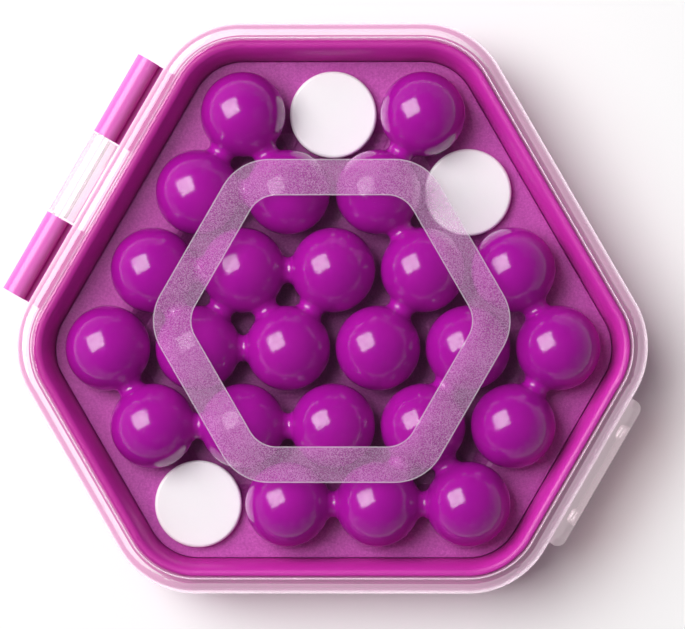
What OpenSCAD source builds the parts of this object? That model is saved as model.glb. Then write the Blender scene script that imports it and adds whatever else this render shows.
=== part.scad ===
// Travel bead puzzle: a hinged hexagonal case, a tray of round seats,
// six pieces of joined beads and three flat blanks.
// Each joined piece is moulded in one; here it is a set of beads that meet in the middle of their waists.
// Origin: centre of the board on the case's flat underside. +Z up, hinge on the upper left.

/* [Beads] */
// Distance between the centres of neighbouring cells
pitch = 12; // [11.8:0.1:14]
// Diameter of one bead
bead_d = 11.4; // [10.6:0.1:11.6]
// Radius of the waist between two joined beads
neck_r = 1.75; // [1.3:0.05:2.2]
// Radius of the hollow curve that blends a waist into its beads
neck_fillet = 0.95; // [0.9:0.05:1.3]
// Height of a bead's centre above the tray's face
bead_rise = 2.6; // [2.2:0.1:3.2]
// Space between a bead and its round seat
seat_gap = 0.15; // [0.1:0.05:0.3]

/* [Blanks] */
// Diameter of a blank's flat top
blank_d = 11.6; // [10.6:0.1:11.8]
// Thickness of a blank's flat top
blank_t = 1.4; // [1:0.1:2]
// Radius of a blank's upper edge
blank_edge = 0.4; // [0.2:0.1:0.8]
// Length of the spigot under a blank
spigot_h = 2.4; // [1.5:0.1:2.8]
// Wall of the spigot
spigot_wall = 1; // [0.8:0.1:1.6]
// Space round the spigot at the narrow end of its seat
spigot_gap = 0.2; // [0.1:0.05:0.4]

/* [Bead tray] */
// Tray surface beyond the outer bead centres
tray_margin = 7.1; // [6.6:0.1:8.5]
// Thickness of the tray's panel
tray_t = 1.4; // [1:0.1:2]
// Wall of the skirt that the tray stands on
tray_skirt = 1.1; // [0.8:0.1:1.3]
// Height of the tray's upper face above the shell's floor
tray_h = 4.2; // [4:0.1:6]
// Radius of the tray's upper edge
tray_edge = 0.35; // [0.2:0.05:0.6]
// Inward draft of the skirt's outer wall at its top
tray_draft = 0.1; // [0.05:0.05:0.3]
// Space between the tray and the shell's wall
tray_gap = 0.15; // [0.1:0.05:0.3]

/* [Base shell] */
// Thickness of the shell's floor
floor_t = 1.4; // [1:0.1:2.5]
// Height of the ledge that the lid closes on
ledge_h = 8.5; // [8.3:0.1:9.5]
// Width of the ledge outside the rim
ledge_w = 0.6; // [0.5:0.05:1.5]
// Height of the rim above the ledge
rim_h = 2.4; // [1.5:0.1:3.2]
// Width of the rim
rim_w = 1.3; // [1.2:0.1:2]
// Outward lean of the inner wall from tray to rim
wall_lean = 1.35; // [0.6:0.05:2]
// Radius of the rim's edges
rim_edge = 0.55; // [0.2:0.05:0.6]
// Inward draft of the rim's outer wall at its top
rim_draft = 0.1; // [0.05:0.05:0.3]
// Radius of the case's lower edge
foot_edge = 1.2; // [0.6:0.1:2]
// Inward draft of the shell's outer wall at its foot
shell_draft = 0.3; // [0.1:0.05:0.6]

/* [Lid] */
// Thickness of the lid's wall
lid_wall = 1.85; // [1.5:0.05:2.2]
// Thickness of the lid's top
lid_t = 1.5; // [1.1:0.1:2.2]
// Space between the rim and the lid's wall
lid_gap = 0.25; // [0.2:0.05:0.35]
// Space between the lid's edge and the ledge
lid_seat = 0.1; // [0.1:0.05:0.3]
// Space between the beads and the closed lid
headroom = 1.2; // [0.8:0.1:2]
// Inward draft of the lid's wall at its top
lid_draft = 0.25; // [0.1:0.05:0.5]
// Outer radius of the lid's upper edge
lid_edge = 1.5; // [1:0.1:2]
// Inner radius of the lid's upper edge
lid_inner_edge = 0.6; // [0.3:0.1:1]

/* [Hinge] */
// Diameter of the hinge barrel
barrel_d = 3.2; // [3:0.1:4]
// Distance from the lid's wall to the hinge axis
hinge_out = 2.55; // [2.4:0.05:3.5]
// Length of each of the three knuckles
knuckle_l = 11.8; // [8:0.1:12.4]
// Space between neighbouring knuckles
knuckle_gap = 0.3; // [0.2:0.05:0.5]
// Height of the arm that carries a knuckle
arm_h = 3.4; // [2.5:0.1:4]
// Depth of a shell arm's upper face below the hinge axis
arm_drop = 0.6; // [0:0.1:1]
// Diameter of the pegs at the ends of the lid's knuckle
peg_d = 1.8; // [1.4:0.1:2]
// Length of each peg
peg_l = 3; // [2:0.1:4.5]
// Running clearance round the pegs in the shell's knuckles
peg_play = 0.05; // [0.02:0.01:0.08]
// Space between a peg's end and the bottom of its bore
peg_end_gap = 0.5; // [0.2:0.1:1]

/* [Latch] */
// Width of the latch tab
tab_w = 22; // [16:0.5:23]
// Thickness of the tab's front
tab_t = 0.85; // [0.7:0.05:1.2]
// Space between the tab's front and the lid's wall
tab_gap = 0.8; // [0.7:0.05:1.2]
// Wall at each end of the tab
tab_cheek = 1; // [0.8:0.1:1.6]
// Space between the tab's ends and the shell
tab_clear = 0.3; // [0.2:0.05:0.4]
// Height of the tab's lower edge above the underside
tab_foot = 3.8; // [3:0.1:4.2]
// Height of the tab's top above the ledge
tab_rise = 2.7; // [2.2:0.1:4]
// Thickness of the web that carries the tab
tab_web = 1.5; // [1:0.1:2]
// Radius of the tab's corners
tab_corner = 1.2; // [0.6:0.1:1.4]
// Width of the window in the tab
window_w = 15; // [10:0.5:15.5]
// Height of the window in the tab
window_h = 2.2; // [1.8:0.1:2.4]
// Height of the tab's bar under the window
bar_h = 1.4; // [1:0.1:1.8]
// How far the catch reaches past the lid's wall
catch_out = 0.6; // [0.4:0.05:0.65]
// Space between the catch and the window's edges
catch_gap = 0.35; // [0.25:0.05:0.5]

/* [Hidden] */
$fn = 64;
// Overlap of solids that are cut from or joined to each other
bite = 0.5;
// How far a round corner stands out past its sides, so that the two meet along a clean edge
corner_step = 0.004;
// Turn of a corner, which runs 20 degrees into the side at each end
corner_turn = 100;

// Board: the number of cells in each row, from the top
row_cells = [3, 4, 5, 6, 5, 4];
row_step = pitch * sin(60);
// The board has three-fold symmetry about a point this many rows below the top row
centre_row = 8 / 3;
// Corner cells, anticlockwise from the right, as [row, place in the row]
corner_cells = [[3, 5], [0, 2], [0, 0], [3, 0], [5, 0], [5, 3]];
hinge_side = 2;
latch_side = 5;

// Cells that each piece covers, a bead in each
triangle_cells = [[0, 0], [1, 0], [1, 1]];
zigzag_cells = [[0, 2], [1, 2], [2, 3], [3, 3]];
trapezoid_cells = [[2, 0], [2, 1], [2, 2], [3, 1], [3, 2]];
hook_cells = [[3, 0], [4, 0], [4, 1], [4, 2]];
angle_cells = [[2, 4], [3, 5], [4, 4]];
boot_cells = [[3, 4], [4, 3], [5, 1], [5, 2], [5, 3]];

// Heights above the underside
tray_z = floor_t + tray_h;
bead_z = tray_z + bead_rise;
rim_z = ledge_h + rim_h;
ceiling_z = bead_z + bead_d / 2 + headroom;
top_z = ceiling_z + lid_t;
lid_z = ledge_h + lid_seat;
axis_z = ledge_h;

// Distances outward from the lines through the outer bead centres
shell_in = tray_margin + tray_gap;
rim_in = shell_in + wall_lean;
rim_out = rim_in + rim_w;
shell_out = rim_out + ledge_w;
lid_in = rim_out + lid_gap;
case_out = lid_in + lid_wall;
axis_out = case_out + hinge_out;
tab_out = case_out + tab_gap + tab_t;

// Depth from a side to just past the board's centre
core = centre_row * row_step + bite;

seat_r = bead_d / 2 + seat_gap;
seat_foot_r = sqrt(pow(seat_r, 2) - pow(bead_rise + tray_t, 2));
spigot_r = seat_foot_r - spigot_gap;
window_z = tab_foot + bar_h;

function cell(rc) = [pitch * (rc[1] - (row_cells[rc[0]] - 1) / 2), row_step * (centre_row - rc[0])];
function corner(i) = cell(corner_cells[i % 6]);
function side_length(i) = norm(corner(i + 1) - corner(i));
function side_angle(i) = 30 + 60 * i;

// A solid with the same section all round the board.
// The section's x is the distance outside the outer bead centres, and it starts at the core's far side
module board_body() {
    for (i = [0:5]) {
        translate(corner(i)) rotate([0, 0, side_angle(i) - 30 - corner_turn / 2])
            rotate_extrude(angle = corner_turn) intersection() {
                translate([corner_step, 0]) children();
                translate([0, -top_z]) square(3 * top_z);
            }
        translate(corner(i)) rotate([0, 0, side_angle(i)]) translate([0, side_length(i), 0])
            rotate([90, 0, 0]) linear_extrude(side_length(i)) children();
    }
}

// The board's outline at a distance outside the outer bead centres
module board_outline(out) {
    function normal(i) = out * [cos(side_angle(i)), sin(side_angle(i))];
    polygon([for (i = [0:5]) for (s = [i - 1, i]) corner(i) + normal(s)]);
    for (i = [0:5]) translate(corner(i)) circle(out + corner_step);
}

// Everything below a height
module below(z) {
    translate([0, 0, z - top_z]) linear_extrude(top_z) board_outline(2 * tab_out);
}

// Middle of a side: x points out of the case, y runs anticlockwise along the side
module on_side(i) {
    translate((corner(i) + corner(i + 1)) / 2) rotate([0, 0, side_angle(i)]) children();
}

// A section from y0 up to y1 whose upper corner is rounded, and whose right side leans in by draft
module rounded_section(x1, y0, y1, radius, draft = 0) {
    polygon([[-core, y0], [x1, y0], [x1 - draft, y1 - radius], [x1 - draft - radius, y1], [-core, y1]]);
    translate([x1 - draft - radius, y1 - radius]) circle(radius);
}

// Everything above a height
module above(z) {
    translate([0, 0, z]) linear_extrude(top_z) board_outline(2 * tab_out);
}

// The flare of the shell's hollow: it leans out above the tray and rounds the rim's inner edge
module flare_section() {
    lean = wall_lean / (rim_z - rim_edge - tray_z);
    polygon([[-core, tray_z - bite], [shell_in - lean * bite, tray_z - bite], [rim_in, rim_z - rim_edge],
        [rim_in, rim_z + bite], [-core, rim_z + bite]]);
    difference() {
        translate([rim_in - rim_edge, rim_z - rim_edge]) square([2 * rim_edge, rim_edge + bite]);
        translate([rim_in + rim_edge, rim_z - rim_edge]) circle(rim_edge);
    }
}

module knuckle(start) {
    translate([axis_out, start, axis_z]) rotate([-90, 0, 0]) cylinder(h = knuckle_l, d = barrel_d);
}

// A round bar on the hinge axis, centred on the middle of the side
module axis_bar(length, diameter) {
    translate([axis_out, -length / 2, axis_z]) rotate([-90, 0, 0]) cylinder(h = length, d = diameter);
}

// The web between a wall and a knuckle: up is 1 above the axis and -1 below it
module knuckle_arm(start, wall, from_z, up) {
    translate([0, start + knuckle_l, 0]) rotate([90, 0, 0]) linear_extrude(knuckle_l)
        polygon([[wall - bite, from_z], [axis_out, from_z], [axis_out, axis_z + up * barrel_d / 2],
            [axis_out - barrel_d / 4, axis_z + up * barrel_d / 2], [wall - bite, axis_z + up * arm_h]]);
}

middle_start = -knuckle_l / 2;
outer_starts = [middle_start - knuckle_gap - knuckle_l, knuckle_l / 2 + knuckle_gap];

module catch_ridge() {
    z0 = window_z + catch_gap;
    z1 = window_z + window_h - catch_gap;
    w = window_w - 2 * catch_gap;
    translate([0, w / 2, 0]) rotate([90, 0, 0]) linear_extrude(w)
        polygon([[shell_out - bite - shell_draft, z0], [case_out + catch_out, z0],
            [case_out + catch_out, z0 + (z1 - z0) / 3], [shell_out - bite - shell_draft, z1]]);
}

module base_shell() {
    color([0.62, 0.1, 0.55]) {
        difference() {
            union() {
                difference() {
                    board_body() translate([0, ledge_h]) mirror([0, 1])
                        rounded_section(shell_out, -bite, ledge_h, foot_edge, shell_draft);
                    above(ledge_h);
                }
                board_body() rounded_section(rim_out, ledge_h - bite, rim_z, rim_edge, rim_draft);
            }
            translate([0, 0, floor_t]) linear_extrude(rim_z) board_outline(shell_in);
            board_body() flare_section();
        }
        on_side(hinge_side) for (start = outer_starts) difference() {
            union() {
                knuckle(start);
                knuckle_arm(start, shell_out - shell_draft, axis_z - arm_drop, -1);
            }
            axis_bar(knuckle_l + 2 * (peg_l + peg_end_gap), peg_d + 2 * peg_play);
        }
        on_side(latch_side) catch_ridge();
    }
}

module bead_tray() {
    inner = tray_margin - tray_skirt;
    color([0.72, 0.3, 0.64]) {
        difference() {
            board_body() rounded_section(tray_margin, floor_t - bite, tray_z, tray_edge, tray_draft);
            below(floor_t);
            translate([0, 0, floor_t - bite]) linear_extrude(tray_h + 2 * bite) board_outline(inner);
        }
        difference() {
            translate([0, 0, tray_z - tray_t]) linear_extrude(tray_t) board_outline(inner + bite);
            for (r = [0:len(row_cells) - 1]) for (k = [0:row_cells[r] - 1])
                translate(concat(cell([r, k]), bead_z)) rotate([0, 0, 30]) sphere(seat_r);
        }
    }
}

module latch_tab() {
    length = tab_out - case_out + bite;
    difference() {
        translate([case_out - bite, 0, tab_foot]) linear_extrude(ledge_h + tab_rise - tab_foot) {
            translate([0, -tab_w / 2]) square([length - tab_corner, tab_w]);
            translate([0, tab_corner - tab_w / 2]) square([length, tab_w - 2 * tab_corner]);
            for (y = [-1, 1]) translate([length - tab_corner, y * (tab_w / 2 - tab_corner)])
                circle(tab_corner);
        }
        translate([0, tab_cheek - tab_w / 2, tab_foot - 1])
            cube([tab_out - tab_t, tab_w - 2 * tab_cheek, ledge_h + tab_rise - tab_web - tab_foot + 1]);
        translate([0, -tab_w, tab_foot - 1])
            cube([case_out + tab_clear, 2 * tab_w, lid_z - tab_foot + 1]);
        translate([case_out, -window_w / 2, window_z]) cube([tab_out, window_w, window_h]);
    }
}

module clear_lid() {
    color([0.93, 0.9, 0.95, 0.35]) {
        difference() {
            board_body() rounded_section(case_out, lid_z - bite, top_z, lid_edge, lid_draft);
            below(lid_z);
            board_body()
                rounded_section(lid_in, lid_z - 2 * bite, ceiling_z, lid_inner_edge, lid_draft);
        }
        on_side(hinge_side) {
            knuckle(middle_start);
            knuckle_arm(middle_start, case_out, lid_z, 1);
            axis_bar(knuckle_l + 2 * peg_l, peg_d);
        }
        on_side(latch_side) latch_tab();
    }
}

// Half of the waist between two beads that touch: from the first bead to the middle
module half_waist(from, to) {
    centre_y = neck_r + neck_fillet;
    reach = pitch / 2 - bead_d / 2 + neck_fillet;
    translate((from + to) / 2) rotate([0, 0, atan2(to[1] - from[1], to[0] - from[0])])
        rotate([0, 90, 0]) rotate_extrude() difference() {
            translate([0, -reach]) square([centre_y - neck_fillet / 4, reach]);
            translate([centre_y, 0]) circle(neck_fillet);
        }
}

// Bead number k of a piece, from 1, with its half of each waist that joins it to a neighbour
module bead(cells, k) {
    places = [for (rc = cells) cell(rc)];
    own = places[k - 1];
    color([0.6, 0.06, 0.6]) translate([0, 0, bead_z]) {
        translate(own) rotate([0, 0, 30]) sphere(d = bead_d);
        for (place = places) if (place != own && norm(place - own) < 1.1 * pitch) half_waist(own, place);
    }
}

module blank(rc) {
    color([0.96, 0.95, 0.94]) translate(concat(cell(rc), tray_z)) rotate_extrude() {
        intersection() {
            rounded_section(blank_d / 2, 0, blank_t, blank_edge);
            square(blank_d);
        }
        translate([spigot_r - spigot_wall, -spigot_h]) square([spigot_wall, spigot_h + blank_t / 2]);
    }
}

base_shell();
bead_tray();
clear_lid();
bead(triangle_cells, 1);  // triangle_bead_1
bead(triangle_cells, 2);  // triangle_bead_2
bead(triangle_cells, 3);  // triangle_bead_3
bead(zigzag_cells, 1);  // zigzag_bead_1
bead(zigzag_cells, 2);  // zigzag_bead_2
bead(zigzag_cells, 3);  // zigzag_bead_3
bead(zigzag_cells, 4);  // zigzag_bead_4
bead(trapezoid_cells, 1);  // trapezoid_bead_1
bead(trapezoid_cells, 2);  // trapezoid_bead_2
bead(trapezoid_cells, 3);  // trapezoid_bead_3
bead(trapezoid_cells, 4);  // trapezoid_bead_4
bead(trapezoid_cells, 5);  // trapezoid_bead_5
bead(hook_cells, 1);  // hook_bead_1
bead(hook_cells, 2);  // hook_bead_2
bead(hook_cells, 3);  // hook_bead_3
bead(hook_cells, 4);  // hook_bead_4
bead(angle_cells, 1);  // corner_bead_1
bead(angle_cells, 2);  // corner_bead_2
bead(angle_cells, 3);  // corner_bead_3
bead(boot_cells, 1);  // boot_bead_1
bead(boot_cells, 2);  // boot_bead_2
bead(boot_cells, 3);  // boot_bead_3
bead(boot_cells, 4);  // boot_bead_4
bead(boot_cells, 5);  // boot_bead_5
blank([0, 1]);  // top_blank
blank([1, 3]);  // right_blank
blank([5, 0]);  // lower_blank
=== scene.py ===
import math
import bmesh
import bpy
from mathutils import Matrix, Quaternion, Vector


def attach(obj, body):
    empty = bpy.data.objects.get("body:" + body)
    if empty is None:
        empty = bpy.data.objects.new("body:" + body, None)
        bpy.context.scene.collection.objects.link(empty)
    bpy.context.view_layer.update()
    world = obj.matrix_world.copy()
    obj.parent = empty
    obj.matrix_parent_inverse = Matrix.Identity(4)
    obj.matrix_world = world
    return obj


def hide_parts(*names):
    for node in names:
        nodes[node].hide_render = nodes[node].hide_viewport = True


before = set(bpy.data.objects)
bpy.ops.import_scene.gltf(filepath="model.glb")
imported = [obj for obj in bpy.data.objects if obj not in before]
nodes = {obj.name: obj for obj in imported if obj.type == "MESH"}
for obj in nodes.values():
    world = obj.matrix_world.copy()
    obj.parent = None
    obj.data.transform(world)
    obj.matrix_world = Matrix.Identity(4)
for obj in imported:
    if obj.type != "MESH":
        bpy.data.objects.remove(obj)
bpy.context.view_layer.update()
mm = 0.001
print("frame loaded:", len(nodes), "solids")


def newMaterial(name):
    mat = bpy.data.materials.new(name)
    mat.use_nodes = True
    mat.node_tree.nodes.clear()
    return mat


def addNode(tree, kind, links=None, **values):
    # values set a node's own settings, links its sockets (a socket or a plain value)
    node = tree.nodes.new(kind)
    for key, value in values.items():
        setattr(node, key, value)
    for key, value in (links or {}).items():
        if isinstance(value, bpy.types.NodeSocket):
            tree.links.new(value, node.inputs[key])
        else:
            node.inputs[key].default_value = value
    return node


def addMath(tree, operation, a, b=0.0, clamp=False):
    node = addNode(tree, "ShaderNodeMath", {0: a, 1: b}, operation=operation, use_clamp=clamp)
    return node.outputs[0]


def addRange(tree, value, low, high, outLow=0.0, outHigh=1.0):
    links = {"Value": value, "From Min": low, "From Max": high, "To Min": outLow, "To Max": outHigh}
    return addNode(tree, "ShaderNodeMapRange", links).outputs["Result"]


def mixColors(tree, factor, a, b):
    return addNode(tree, "ShaderNodeMix", {0: factor, 6: a, 7: b}, data_type="RGBA").outputs[2]


def groupSockets(group, inputs, outputs):
    for name, kind, value in inputs:
        socket = group.interface.new_socket(name, in_out="INPUT", socket_type=kind)
        socket.default_value = value
    for name, kind in outputs:
        group.interface.new_socket(name, in_out="OUTPUT", socket_type=kind)
    return group.nodes.new("NodeGroupInput"), group.nodes.new("NodeGroupOutput")


def useGroup(tree, group, **values):
    node = tree.nodes.new("ShaderNodeGroup")
    node.node_tree = group
    for key, value in values.items():
        node.inputs[key].default_value = value
    return node


def addObject(name, data):
    thing = bpy.data.objects.new(name, data)
    bpy.context.scene.collection.objects.link(thing)
    return thing


# the parts of each noise that count as mottling and as grain
grainStyle = {"mottleFrom": 0.3, "mottleTo": 0.7, "grainFrom": 0.35, "grainTo": 0.65}


def buildMouldGrain():
    # the fine skin and slow mottling that a moulded plastic part has
    group = bpy.data.node_groups.new("mouldGrain", "ShaderNodeTree")
    inputs = [("Grain Size", "NodeSocketFloat", 0.2), ("Mottle Size", "NodeSocketFloat", 6.0)]
    outputs = [("Height", "NodeSocketFloat"), ("Mottle", "NodeSocketFloat"), ("Grain", "NodeSocketFloat")]
    start, end = groupSockets(group, inputs, outputs)
    place = addNode(group, "ShaderNodeTexCoord").outputs["Object"]
    perGrain = addMath(group, "DIVIDE", 1 / mm, start.outputs["Grain Size"])
    perMottle = addMath(group, "DIVIDE", 1 / mm, start.outputs["Mottle Size"])
    fine = addNode(group, "ShaderNodeTexNoise",
                   {"Vector": place, "Scale": perGrain, "Detail": 3.0, "Roughness": 0.6})
    slow = addNode(group, "ShaderNodeTexNoise",
                   {"Vector": place, "Scale": perMottle, "Detail": 4.0, "Roughness": 0.55})
    mottle = addRange(group, slow.outputs["Fac"], grainStyle["mottleFrom"], grainStyle["mottleTo"])
    grain = addRange(group, fine.outputs["Fac"], grainStyle["grainFrom"], grainStyle["grainTo"])
    group.links.new(fine.outputs["Fac"], end.inputs["Height"])
    group.links.new(mottle, end.inputs["Mottle"])
    group.links.new(grain, end.inputs["Grain"])
    return group


# three directions of long thin lines, which show in patches only
scratchStyle = {"turns": (0.4, 1.7, 2.9), "tilt": 0.3, "lean": 0.2, "stretch": 0.12, "thinning": 0.1,
                "patchScale": 1.3, "patchFrom": 0.55, "patchTo": 0.62}


def buildHandlingMarks():
    # hairline scratches from handling, as one mask
    group = bpy.data.node_groups.new("handlingMarks", "ShaderNodeTree")
    inputs = [("Scratch Width", "NodeSocketFloat", 0.02), ("Scratch Spread", "NodeSocketFloat", 9.0)]
    start, end = groupSockets(group, inputs, [("Scratches", "NodeSocketFloat")])
    place = addNode(group, "ShaderNodeTexCoord").outputs["Object"]
    spread = addMath(group, "DIVIDE", 1 / mm, start.outputs["Scratch Spread"])
    width = addMath(group, "MULTIPLY", start.outputs["Scratch Width"], scratchStyle["thinning"])
    patchScale = addMath(group, "MULTIPLY", spread, scratchStyle["patchScale"])
    where = addNode(group, "ShaderNodeTexNoise", {"Vector": place, "Scale": patchScale, "Detail": 0.0})
    patches = addRange(group, where.outputs["Fac"], scratchStyle["patchFrom"], scratchStyle["patchTo"])
    masks = []
    for turn in scratchStyle["turns"]:
        rotation = (scratchStyle["tilt"] * turn, scratchStyle["lean"], turn)
        turned = addNode(group, "ShaderNodeMapping", {"Vector": place, "Rotation": rotation,
                                                      "Scale": (1.0, scratchStyle["stretch"], 1.0)})
        bent = addNode(group, "ShaderNodeTexNoise",
                       {"Vector": turned.outputs[0], "Scale": spread, "Detail": 1.0})
        line = addMath(group, "ABSOLUTE", addMath(group, "SUBTRACT", bent.outputs["Fac"], 0.5))
        masks.append(addMath(group, "MULTIPLY", addMath(group, "LESS_THAN", line, width), patches))
    both = addMath(group, "MAXIMUM", addMath(group, "MAXIMUM", masks[0], masks[1]), masks[2])
    group.links.new(both, end.inputs["Scratches"])
    return group


mouldGrain = buildMouldGrain()
handlingMarks = buildHandlingMarks()


def buildPlastic(name, look):
    # a coloured moulded plastic: base colour with mottling, roughness with grain, and a fine bump
    mat = newMaterial(name)
    tree = mat.node_tree
    grain = useGroup(tree, mouldGrain,
                     **{"Grain Size": look["grainSize"], "Mottle Size": look["mottleSize"]})
    marks = useGroup(tree, handlingMarks,
                     **{"Scratch Width": look["scratchWidth"], "Scratch Spread": look["scratchSpread"]})
    base = mixColors(tree, grain.outputs["Mottle"], (*look["color"], 1), (*look["mottleColor"], 1))
    speck = addMath(tree, "MULTIPLY", grain.outputs["Grain"], look["speckle"], clamp=True)
    base = mixColors(tree, speck, base, (*look["speckColor"], 1))
    rough = addRange(tree, grain.outputs["Mottle"], 0.0, 1.0, look["roughness"],
                     look["roughness"] + look["roughSpread"])
    scratched = addMath(tree, "MULTIPLY", marks.outputs["Scratches"], look["scratchRoughness"])
    rough = addMath(tree, "ADD", rough, scratched)
    bump = addNode(tree, "ShaderNodeBump", {"Height": grain.outputs["Height"],
                                            "Distance": look["grainDepth"] * mm, "Strength": 1.0})
    shader = addNode(tree, "ShaderNodeBsdfPrincipled", {"Base Color": base, "Roughness": rough,
                                                        "Normal": bump.outputs["Normal"]})
    shader.inputs["IOR"].default_value = look["ior"]
    shader.inputs["Coat Weight"].default_value = look["coat"]
    shader.inputs["Coat Roughness"].default_value = look["coatRoughness"]
    shader.inputs["Subsurface Weight"].default_value = look["subsurface"]
    shader.inputs["Subsurface Radius"].default_value = look["bleed"]
    shader.inputs["Subsurface Scale"].default_value = mm
    addNode(tree, "ShaderNodeOutputMaterial", {"Surface": shader.outputs[0]})
    return mat


# what the coloured plastics share, then what sets each of them apart; lengths in millimetres
plasticBase = {"speckle": 0.0, "speckColor": (0.8, 0.8, 0.8), "scratchWidth": 0.02, "scratchSpread": 9.0,
               "scratchRoughness": 0.1, "coat": 0.0, "coatRoughness": 0.03, "subsurface": 0.0,
               "bleed": (1.0, 0.9, 0.9)}
shellLook = dict(plasticBase, color=(0.64, 0.024, 0.43), mottleColor=(0.61, 0.021, 0.405),
                 roughness=0.42, roughSpread=0.06, grainSize=0.35, mottleSize=9.0, grainDepth=0.002,
                 ior=1.40, coat=0.2, coatRoughness=0.28)
# painted light: the knuckles are the shell's own plastic, given a brighter, pinker copy of it because they sit
# in full light outside the lid
knuckleLitLook = dict(shellLook, color=(0.92, 0.17, 0.65), mottleColor=(0.89, 0.155, 0.62),
                   coat=0.8, coatRoughness=0.2)
trayLook = dict(plasticBase, color=(0.56, 0.085, 0.46), mottleColor=(0.51, 0.07, 0.415),
                speckle=0.8, speckColor=(0.37, 0.03, 0.29), roughness=0.42, roughSpread=0.08,
                grainSize=0.3, mottleSize=7.0, grainDepth=0.012, ior=1.42)
beadLook = dict(plasticBase, color=(0.42, 0.004, 0.37), mottleColor=(0.46, 0.006, 0.39),
                roughness=0.12, roughSpread=0.04, grainSize=0.5, mottleSize=5.0, grainDepth=0.0006,
                scratchSpread=8.0, scratchRoughness=0.06, ior=1.5, coat=0.4)
blankLook = dict(plasticBase, color=(0.985, 0.985, 0.98), mottleColor=(0.975, 0.975, 0.97),
                 roughness=0.32, roughSpread=0.08, grainSize=0.4, mottleSize=4.0, grainDepth=0.003,
                 scratchSpread=8.0, scratchRoughness=0.15, ior=1.5, subsurface=0.15)

# the clear moulding: its top, its wall, and its knuckle and latch tab
clearBase = {"coat": 1.0, "coatIor": 1.5, "coatRoughness": 0.04, "shadowColor": (0.87, 0.81, 0.82),
             "scratchWidth": 0.012, "scratchSpread": 14.0, "scratchRoughness": 0.05}
lidLook = dict(clearBase, color=(0.99, 0.98, 0.99), roughness=0.02, ior=1.18, clearness=1.0,
               paintedGlow=0.0, paintedGlowColor=(1.0, 1.0, 1.0), coatRoughness=0.02, shadowColor=(0.99, 0.985, 0.99))
# painted light: the wall and tab glow to lift their shaded side, and the pink in their colours and glow stands
# in for the magenta shell seen through the clear plastic
lidWallLook = dict(clearBase, color=(0.89, 0.74, 0.84), roughness=0.10, ior=1.3, clearness=0.82,
                   paintedGlow=0.16, paintedGlowColor=(1.0, 0.78, 0.92), scratchRoughness=0.12)
lidDetailLook = dict(clearBase, color=(0.98, 0.93, 0.95), roughness=0.05, ior=1.40, clearness=0.80,
                     paintedGlow=0.07, paintedGlowColor=(1.0, 0.84, 0.90), coatIor=1.7)


def buildClear(name, look):
    # clear moulding: lamps and soft light pass straight through it, everything else bends and mirrors,
    # and where a look sets a glow it gives off a little light of its own: painted light that lifts the wall
    # and tab where they lie in shade
    mat = newMaterial(name)
    tree = mat.node_tree
    marks = useGroup(tree, handlingMarks,
                     **{"Scratch Width": look["scratchWidth"], "Scratch Spread": look["scratchSpread"]})
    rough = addRange(tree, marks.outputs["Scratches"], 0.0, 1.0, look["roughness"],
                     look["roughness"] + look["scratchRoughness"])
    shader = addNode(tree, "ShaderNodeBsdfPrincipled",
                     {"Base Color": (*look["color"], 1), "Roughness": rough})
    shader.inputs["IOR"].default_value = look["ior"]
    shader.inputs["Transmission Weight"].default_value = look["clearness"]
    shader.inputs["Emission Color"].default_value = (*look["paintedGlowColor"], 1)
    shader.inputs["Emission Strength"].default_value = look["paintedGlow"]
    shader.inputs["Coat Weight"].default_value = look["coat"]
    shader.inputs["Coat IOR"].default_value = look["coatIor"]
    shader.inputs["Coat Roughness"].default_value = look["coatRoughness"]
    passing = addNode(tree, "ShaderNodeBsdfTransparent", {"Color": (*look["shadowColor"], 1)})
    path = addNode(tree, "ShaderNodeLightPath")
    inner = addNode(tree, "ShaderNodeMixShader", {0: path.outputs["Is Diffuse Ray"], 1: shader.outputs[0],
                                                  2: passing.outputs[0]})
    outer = addNode(tree, "ShaderNodeMixShader", {0: path.outputs["Is Shadow Ray"], 1: inner.outputs[0],
                                                  2: passing.outputs[0]})
    addNode(tree, "ShaderNodeOutputMaterial", {"Surface": outer.outputs[0]})
    return mat


shellPlastic = buildPlastic("shellPlastic", shellLook)
knuckleLitPlastic = buildPlastic("knuckleLitPlastic", knuckleLitLook)
trayPlastic = buildPlastic("trayPlastic", trayLook)
beadPlastic = buildPlastic("beadPlastic", beadLook)
blankPlastic = buildPlastic("blankPlastic", blankLook)
clearPlastic = buildClear("clearPlastic", lidLook)
clearWall = buildClear("clearWall", lidWallLook)
clearDetail = buildClear("clearDetail", lidDetailLook)
print("materials built")

# the board, as in the solids
board = {"pitch": 12.0, "rows": [3, 4, 5, 6, 5, 4], "centreRow": 8 / 3, "beadHeight": 8.2}


def cellPlace(row, place):
    step = board["pitch"] * math.sin(math.radians(60))
    x = board["pitch"] * (place - (board["rows"][row] - 1) / 2)
    return Vector((x, step * (board["centreRow"] - row), board["beadHeight"]))


# round beads that flow into each other at a waist
beadShape = {"radius": 5.7, "waist": 1.75, "around": 120, "down": 60, "waistTurn": math.radians(11.4),
             "joinWithin": 1.1, "weld": 0.004, "slim": 0.002, "nearTurn": 1e-6, "axisTurn": 1e-4}
pieceCells = {
    "triangle_piece": [(0, 0), (1, 0), (1, 1)],
    "zigzag_piece": [(0, 2), (1, 2), (2, 3), (3, 3)],
    "trapezoid_piece": [(2, 0), (2, 1), (2, 2), (3, 1), (3, 2)],
    "hook_piece": [(3, 0), (4, 0), (4, 1), (4, 2)],
    "corner_piece": [(2, 4), (3, 5), (4, 4)],
    "boot_piece": [(3, 4), (4, 3), (5, 1), (5, 2), (5, 3)],
}


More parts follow.
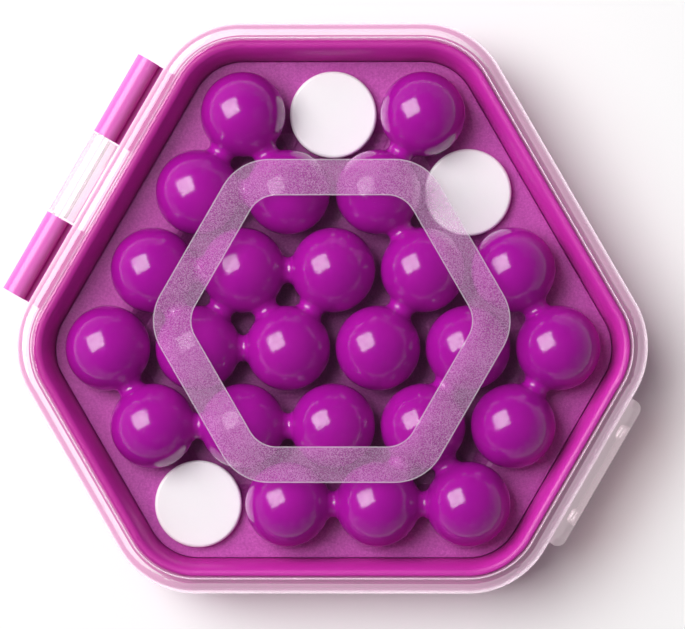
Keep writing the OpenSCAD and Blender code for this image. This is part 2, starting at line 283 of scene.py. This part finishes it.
def beadPoint(direction, joins):
    # place and normal on a bead for a direction from its centre, and whether the waist's end holds it
    radius, waist, half = beadShape["radius"], beadShape["waist"], board["pitch"] / 2
    fillet = (half ** 2 + waist ** 2 - radius ** 2) / (2 * (radius - waist))
    rise = waist + fillet
    tangent = math.atan2(rise, half)
    for join in joins:
        turn = direction.angle(join)
        if turn < tangent - beadShape["nearTurn"]:
            low = beadShape["waistTurn"]
            share = max(0.0, (turn - low) / (tangent - low))
            offAxis = turn > beadShape["axisTurn"]
            side = (direction - join * direction.dot(join)).normalized() if offAxis else Vector((0, 0, 1))
            angle = share * (math.pi / 2 - tangent)
            along = half - fillet * math.sin(angle)
            out = rise - fillet * math.cos(angle)
            normal = join * math.sin(angle) + side * math.cos(angle)
            return join * along + side * out, normal, turn < low + beadShape["nearTurn"]
    return direction * radius, direction, False


def buildBeadPiece(node, cells):
    places = [cellPlace(*cell) for cell in cells]
    around, down = beadShape["around"], beadShape["down"]
    verts, normals, faces = [], [], []
    for centre in places:
        joins = [(other - centre).normalized() for other in places
                 if 0 < (other - centre).length < beadShape["joinWithin"] * board["pitch"]]
        grid = []
        for j in range(down + 1):
            row = []
            for i in range(around if 0 < j < down else 1):
                polar, turn = math.pi * j / down, 2 * math.pi * i / around
                direction = Vector((math.sin(polar) * math.cos(turn), math.sin(polar) * math.sin(turn),
                                    math.cos(polar)))
                place, normal, held = beadPoint(direction, joins)
                verts.append((centre + place) * mm)
                normals.append(normal)
                row.append((len(verts) - 1, held))
            grid.append(row)
        for j in range(down):
            for i in range(around):
                k = (i + 1) % around
                upper, lower = grid[j], grid[j + 1]
                ring = [upper[i % len(upper)], lower[i % len(lower)],
                        lower[k % len(lower)], upper[k % len(upper)]]
                ring = [v for n, v in enumerate(ring) if v not in ring[:n]]
                if not all(held for _, held in ring):
                    faces.append([index for index, _ in ring])
    mesh = bpy.data.meshes.new(node + "Beads")
    mesh.from_pydata(verts, [], faces)
    bm = bmesh.new()
    bm.from_mesh(mesh)
    layer = bm.verts.layers.float_vector.new("seatNormal")
    for vert, normal in zip(bm.verts, normals):
        vert[layer] = normal
    bmesh.ops.remove_doubles(bm, verts=bm.verts, dist=beadShape["weld"] * mm)
    bmesh.ops.dissolve_degenerate(bm, edges=bm.edges, dist=beadShape["slim"] * mm)
    loose = [v for v in bm.verts if not v.link_faces]
    bmesh.ops.delete(bm, geom=loose, context="VERTS")
    kept = [Vector(v[layer]) for v in bm.verts]
    openEdges = sum(1 for e in bm.edges if len(e.link_faces) != 2)
    bm.to_mesh(mesh)
    bm.free()
    mesh.attributes.remove(mesh.attributes["seatNormal"])
    for poly in mesh.polygons:
        poly.use_smooth = True
    mesh.normals_split_custom_set_from_vertices([n.normalized() for n in kept])
    piece = addObject(node.replace("_piece", "Beads"), mesh)
    mesh.materials.append(beadPlastic)
    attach(piece, node)
    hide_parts(*[node.replace("_piece", "_bead_" + str(k + 1)) for k in range(len(cells))])
    print("beads", node, len(mesh.polygons), "faces, open edges", openEdges)


for node, cells in pieceCells.items():
    buildBeadPiece(node, cells)

# the outer seats, round the board
corners = [cellPlace(*cell).to_2d() for cell in ((0, 0), (0, 2), (3, 5), (5, 3), (5, 0), (3, 0))]


def seatOffset(x, y):
    # how far a point lies outside the lines through the outer seats, and which way is out
    point = Vector((x, y))
    best = None
    for k, first in enumerate(corners):
        side = corners[(k + 1) % len(corners)] - first
        outward = Vector((-side.y, side.x)).normalized()
        share = min(1.0, max(0.0, (point - first).dot(side) / side.length_squared))
        nearest = first + side * share
        if (point - first).dot(outward) > 0 and (best is None or (point - nearest).length < best[0]):
            best = ((point - nearest).length, (point - nearest).normalized())
    return best or (0.0, Vector((1, 0)))


def seatDepth(x, y):
    # how far a point lies inside those lines
    depths = []
    for k, first in enumerate(corners):
        side = corners[(k + 1) % len(corners)] - first
        depths.append((Vector((x, y)) - first).dot(Vector((side.y, -side.x)).normalized()))
    return max(0.0, min(depths))


def copySolid(node, name, body, materials):
    # a copy of a solid that takes its place, to be shaped and coloured further
    piece = addObject(name, nodes[node].data.copy())
    piece.data.materials.clear()
    for material in materials:
        piece.data.materials.append(material)
    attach(piece, body)
    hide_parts(node)
    return piece


trayFit = {"edgeFrom": 6.75, "edgeTo": 7.1, "reach": 0.2, "edgeDrop": 0.2, "sink": 2.0, "sinkWithin": 3.0,
           "slack": 0.02}


def buildTray():
    # the tray's edge meets the shell's wall, and the webs between inner seats lie deeper than the border
    piece = copySolid("bead_tray", "seatTray", "base", [trayPlastic])
    top = max(v.co.z for v in piece.data.vertices)
    low, high = trayFit["edgeFrom"], trayFit["edgeTo"]
    for vert in piece.data.vertices:
        out, way = seatOffset(vert.co.x / mm, vert.co.y / mm)
        if out == 0.0:
            share = min(1.0, seatDepth(vert.co.x / mm, vert.co.y / mm) / trayFit["sinkWithin"])
            vert.co.z -= trayFit["sink"] * share * share * (3 - 2 * share) * mm
        if out > low - trayFit["slack"]:
            step = trayFit["reach"] * min(1.0, (out - low) / (high - low)) * mm
            vert.co.x += way.x * step
            vert.co.y += way.y * step
            if top - vert.co.z < (high - low + trayFit["slack"]) * mm:
                vert.co.z = top - (top - vert.co.z) * trayFit["edgeDrop"]


wallShade = {"from": 7.2, "to": 9.25, "foot": 5.6, "footSlack": 0.3, "top": 10.35, "lean": 16.0,
             "lift": 46.0, "slack": 0.02}


def softenWall(mesh):
    # the inner wall shades like a shallow curve that turns up into the rim
    normals = [Vector(corner.vector) for corner in mesh.corner_normals]
    lean, lift = math.radians(wallShade["lean"]), math.radians(wallShade["lift"])
    slack, lowest = wallShade["slack"], wallShade["foot"] - wallShade["footSlack"]
    for poly in mesh.polygons:
        out, way = seatOffset(poly.center.x / mm, poly.center.y / mm)
        facing = poly.normal.x * way.x + poly.normal.y * way.y
        onWall = wallShade["from"] < out < wallShade["to"] and poly.center.z / mm >= lowest
        if not onWall or facing > -slack:
            continue
        for loop in poly.loop_indices:
            place = mesh.vertices[mesh.loops[loop].vertex_index].co
            _, way = seatOffset(place.x / mm, place.y / mm)
            rise = math.asin(max(0.0, min(1.0, normals[loop].z)))
            if rise > lean + slack:
                turn = lift + (rise - lean) * (math.pi / 2 - lift) / (math.pi / 2 - lean)
            else:
                share = (place.z / mm - wallShade["foot"]) / (wallShade["top"] - wallShade["foot"])
                turn = lift * max(0.0, min(1.0, share))
            normals[loop] = Vector((-way.x * math.cos(turn), -way.y * math.cos(turn), math.sin(turn)))
    mesh.normals_split_custom_set(normals)


def wayOut(angle):
    # a level direction from its angle in degrees
    return Vector((math.cos(math.radians(angle)), math.sin(math.radians(angle))))


catchFit = {"angle": -30.0, "reach": 11.6, "half": 13.0}
knuckleFit = {"angle": 150.0, "from": 12.3, "within": 0.9}


def buildCase():
    # the catch ends behind the clear tab, and the knuckles take a brighter copy of the shell plastic, painted
    # light for the full light they sit in
    piece = copySolid("base_shell", "caseShell", "base", [shellPlastic, knuckleLitPlastic])
    for poly in piece.data.polygons:
        out, way = seatOffset(poly.center.x / mm, poly.center.y / mm)
        # knuckle faces take the lit copy of the shell plastic, painted light
        if out > knuckleFit["from"] and way.dot(wayOut(knuckleFit["angle"])) > knuckleFit["within"]:
            poly.material_index = 1
    outward = wayOut(catchFit["angle"])
    along = Vector((-outward.y, outward.x))
    line = max(corner.dot(outward) for corner in corners) + catchFit["reach"]
    for vert in piece.data.vertices:
        flat = vert.co.to_2d() / mm
        over = flat.dot(outward) - line
        if over > 0 and abs(flat.dot(along)) < catchFit["half"]:
            vert.co.x -= outward.x * over * mm
            vert.co.y -= outward.y * over * mm
    softenWall(piece.data)


lidFit = {"wallFrom": 9.9, "detailFrom": 12.05, "level": 0.99, "topWithin": 0.05}


def buildLid():
    # the flat top is clear, the wall with its tab and knuckle has a faint haze, with a painted glow and a pink
    # tint that stands in for the magenta shell seen through it
    materials = [clearPlastic, clearWall, clearDetail]
    piece = copySolid("clear_lid", "lidMoulding", "lid", materials)
    top = max(v.co.z for v in piece.data.vertices)
    walls = 0
    for poly in piece.data.polygons:
        out, _ = seatOffset(poly.center.x / mm, poly.center.y / mm)
        onTop = poly.normal.z > lidFit["level"] and top - poly.center.z < lidFit["topWithin"] * mm
        if out > lidFit["wallFrom"] and not onTop:
            poly.material_index = 2 if out > lidFit["detailFrom"] else 1
            walls += 1
    print("lid wall faces", walls, "of", len(piece.data.polygons))


ribs = {"angle": -30.0, "line": 12.75, "along": 6.4, "length": 2.0, "width": 0.9, "height": 0.3,
        "base": 11.15, "steps": 8, "weld": 0.001, "level": 0.99}


def buildTabRibs():
    # two low rounded ribs on the latch tab
    outward = wayOut(ribs["angle"])
    along = Vector((-outward.y, outward.x))
    far = max(corner.dot(outward) for corner in corners) + ribs["line"]
    half = ribs["length"] / 2 - ribs["width"] / 2
    count = 4 * ribs["steps"]
    verts, faces = [], []
    for side in (-1, 1):
        centre = outward * far + along * side * ribs["along"]
        first = len(verts)
        for ring in range(ribs["steps"] + 1):
            rise = math.pi / 2 * ring / ribs["steps"]
            radius = ribs["width"] / 2 * math.cos(rise)
            height = ribs["base"] + ribs["height"] * math.sin(rise)
            for i in range(count):
                angle = 2 * math.pi * (i + 0.5) / count
                push = half if math.cos(angle) > 0 else -half
                place = centre + along * (push + radius * math.cos(angle)) + outward * radius * math.sin(angle)
                verts.append((place.x * mm, place.y * mm, height * mm))
        for ring in range(ribs["steps"]):
            for i in range(count):
                k = (i + 1) % count
                low, high = first + ring * count, first + (ring + 1) * count
                faces.append((low + i, low + k, high + k, high + i))
    mesh = bpy.data.meshes.new("tabRibs")
    mesh.from_pydata(verts, [], faces)
    bm = bmesh.new()
    bm.from_mesh(mesh)
    bmesh.ops.remove_doubles(bm, verts=bm.verts, dist=ribs["weld"] * mm)
    bmesh.ops.holes_fill(bm, edges=[e for e in bm.edges if len(e.link_faces) == 1])
    bmesh.ops.recalc_face_normals(bm, faces=bm.faces)
    bm.to_mesh(mesh)
    bm.free()
    for poly in mesh.polygons:
        poly.use_smooth = poly.normal.z > -ribs["level"]
    piece = addObject("tabRibs", mesh)
    mesh.materials.append(clearDetail)
    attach(piece, "lid")


buildTray()
buildCase()
buildLid()
buildTabRibs()

# a frosted border on the underside of the lid's top, six sided like the case
frost = {"inner": 16.6, "outer": 21.4, "innerRound": 4.0, "outerRound": 7.0, "line": 0.16, "height": 15.07,
         "arcSteps": 12}
# the pink in the frost colour is painted light: it stands in for the purple beads' light coming up through the
# frost
frostLook = {"color": (0.97, 0.47, 0.90), "speckColor": (0.44, 0.18, 0.39), "thin": 0.22, "thick": 0.50,
             "grainSize": 0.14, "mottleSize": 6.0, "roughness": 0.5}
# painted highlight: a paler, denser ink along the band's edges, standing in for light caught on an edge
frostEdgeHighlightLook = {"color": (0.86, 0.70, 0.84), "speckColor": (0.80, 0.66, 0.80), "thin": 0.5, "thick": 0.6,
                 "grainSize": 0.25, "mottleSize": 6.0, "roughness": 0.4}


def buildFrostInk(name, look):
    # a thin cloudy layer that covers more or less of what lies below, grain by grain
    mat = newMaterial(name)
    tree = mat.node_tree
    grain = useGroup(tree, mouldGrain,
                     **{"Grain Size": look["grainSize"], "Mottle Size": look["mottleSize"]})
    cloud = addMath(tree, "MULTIPLY", grain.outputs["Mottle"], grain.outputs["Grain"])
    base = mixColors(tree, cloud, (*look["color"], 1), (*look["speckColor"], 1))
    cover = addRange(tree, grain.outputs["Grain"], 0.0, 1.0, look["thick"], look["thin"])
    shader = addNode(tree, "ShaderNodeBsdfPrincipled", {"Base Color": base, "Alpha": cover})
    shader.inputs["Roughness"].default_value = look["roughness"]
    addNode(tree, "ShaderNodeOutputMaterial", {"Surface": shader.outputs[0]})
    return mat


def hexLoop(apothem, radius):
    # points of a hexagon with rounded corners
    reach = (apothem - radius) / math.cos(math.pi / 6)
    steps = frost["arcSteps"]
    points = []
    for k in range(6):
        middle = wayOut(60 * k) * reach
        points += [middle + wayOut(60 * k - 30 + 60 * i / steps) * radius for i in range(steps + 1)]
    return points


def buildFrostBorder():
    # a cloudy band with a painted highlight line along either edge
    line = frost["line"]
    edges = [(frost["inner"], frost["innerRound"]), (frost["inner"] + line, frost["innerRound"] + line),
             (frost["outer"] - line, frost["outerRound"] - line), (frost["outer"], frost["outerRound"])]
    loops = [hexLoop(apothem, radius) for apothem, radius in edges]
    count = len(loops[0])
    verts = [(p.x * mm, p.y * mm, frost["height"] * mm) for loop in loops for p in loop]
    faces, inks = [], []
    for ring in range(len(loops) - 1):
        low, high = ring * count, (ring + 1) * count
        for i in range(count):
            k = (i + 1) % count
            faces.append((low + i, low + k, high + k, high + i))
            inks.append(0 if ring == 1 else 1)
    mesh = bpy.data.meshes.new("frostBorder")
    mesh.from_pydata(verts, [], faces)
    piece = addObject("frostBorder", mesh)
    mesh.materials.append(buildFrostInk("frostInk", frostLook))
    mesh.materials.append(buildFrostInk("frostEdgeHighlight", frostEdgeHighlightLook))
    for poly, ink in zip(mesh.polygons, inks):
        poly.material_index = ink
    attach(piece, "lid")


buildFrostBorder()

# the blanks keep their own solids
for node in ("top_blank", "right_blank", "lower_blank"):
    nodes[node].data.materials.clear()
    nodes[node].data.materials.append(blankPlastic)
print("case, tray, lid and blanks finished")

# seen from nearly straight above; width is what the picture spans at the aimed point, in metres
view = {"place": (0.020, -0.018, 0.80), "aim": (0.00127, 0.0010, 0.0082), "width": 0.0913, "sensor": 36.0,
        "near": 0.01, "far": 20.0}
camera = addObject("viewCamera", bpy.data.cameras.new("viewCamera"))
bpy.context.scene.camera = camera
sight = Vector(view["aim"]) - Vector(view["place"])
back = -sight.normalized()
right = Vector((0, 1, 0)).cross(back).normalized()
up = back.cross(right)
camera.matrix_world = Matrix((right, up, back)).transposed().to_4x4()
camera.location = view["place"]
camera.data.sensor_fit = "HORIZONTAL"
camera.data.sensor_width = view["sensor"]
camera.data.lens = view["sensor"] * sight.length / view["width"]
camera.data.clip_start = view["near"]
camera.data.clip_end = view["far"]

stage = {"floorSize": 6.0, "floorColor": (0.965, 0.965, 0.97), "floorRoughness": 0.6, "floorSheen": 0.1,
         "drop": 0.00002, "glow": 0.055, "glowColor": (1.0, 0.8, 0.8)}
lamp = {"direction": (-0.53, 0.27, 0.80), "distance": 0.9, "size": 0.70, "level": 6.75, "turn": 25.0,
        "aim": (0.0, 0.0, 0.008)}
sky = {"fillLow": 0.03, "fillHigh": 0.18, "zenith": 0.03, "horizon": 0.06, "start": 0.0, "end": 0.2}


def buildFloor():
    half = stage["floorSize"] / 2
    mesh = bpy.data.meshes.new("floor")
    rim = [(-half, -half, 0), (half, -half, 0), (half, half, 0), (-half, half, 0)]
    mesh.from_pydata(rim, [], [(0, 1, 2, 3)])
    floor = addObject("floor", mesh)
    floor.location.z = -stage["drop"]
    mat = newMaterial("floorPaper")
    tree = mat.node_tree
    shader = addNode(tree, "ShaderNodeBsdfPrincipled", {"Base Color": (*stage["floorColor"], 1),
                                                        "Roughness": stage["floorRoughness"]})
    shader.inputs["Specular IOR Level"].default_value = stage["floorSheen"]
    # seen directly or through the lid, the paper glows a little, which keeps its shadows soft
    path = addNode(tree, "ShaderNodeLightPath")
    seen = addMath(tree, "SUBTRACT", 1.0, path.outputs["Is Diffuse Ray"])
    glow = addNode(tree, "ShaderNodeEmission", {"Color": (*stage["glowColor"], 1),
                                                "Strength": addMath(tree, "MULTIPLY", seen, stage["glow"])})
    both = addNode(tree, "ShaderNodeAddShader", {0: shader.outputs[0], 1: glow.outputs[0]})
    addNode(tree, "ShaderNodeOutputMaterial", {"Surface": both.outputs[0]})
    mesh.materials.append(mat)


def buildLamp():
    # one large square lamp at the upper left
    data = bpy.data.lights.new("softbox", "AREA")
    data.shape = "SQUARE"
    data.size = lamp["size"]
    data.energy = lamp["level"] * math.pi * lamp["size"] ** 2
    softbox = addObject("softbox", data)
    direction = Vector(lamp["direction"]).normalized()
    softbox.location = Vector(lamp["aim"]) + direction * lamp["distance"]
    softbox.rotation_mode = "QUATERNION"
    turn = Vector((0, 0, 1)).rotation_difference(direction)
    softbox.rotation_quaternion = turn @ Quaternion((0, 0, 1), math.radians(lamp["turn"]))


def buildSky():
    # soft fill that grows towards the zenith; mirrors see a dark room, the camera sees white
    world = bpy.data.worlds.new("studio")
    bpy.context.scene.world = world
    world.use_nodes = True
    tree = world.node_tree
    tree.nodes.clear()
    place = addNode(tree, "ShaderNodeTexCoord").outputs["Generated"]
    height = addNode(tree, "ShaderNodeSeparateXYZ", {0: place}).outputs["Z"]
    wall = addRange(tree, height, sky["start"], sky["end"], sky["horizon"], sky["zenith"])
    mirrored = addNode(tree, "ShaderNodeBackground", {"Color": (1, 1, 1, 1), "Strength": wall})
    soft = addRange(tree, height, 0.0, 1.0, sky["fillLow"], sky["fillHigh"])
    fill = addNode(tree, "ShaderNodeBackground", {"Color": (1, 1, 1, 1), "Strength": soft})
    white = addNode(tree, "ShaderNodeBackground", {"Color": (1, 1, 1, 1), "Strength": 1.0})
    path = addNode(tree, "ShaderNodeLightPath")
    bounced = addNode(tree, "ShaderNodeMixShader", {0: path.outputs["Is Diffuse Ray"], 1: mirrored.outputs[0],
                                                    2: fill.outputs[0]})
    seen = addNode(tree, "ShaderNodeMixShader", {0: path.outputs["Is Camera Ray"], 1: bounced.outputs[0],
                                                 2: white.outputs[0]})
    addNode(tree, "ShaderNodeOutputWorld", {"Surface": seen.outputs[0]})


buildFloor()
buildLamp()
buildSky()
bpy.context.scene.view_settings.view_transform = "Standard"
print("camera, floor and light set")
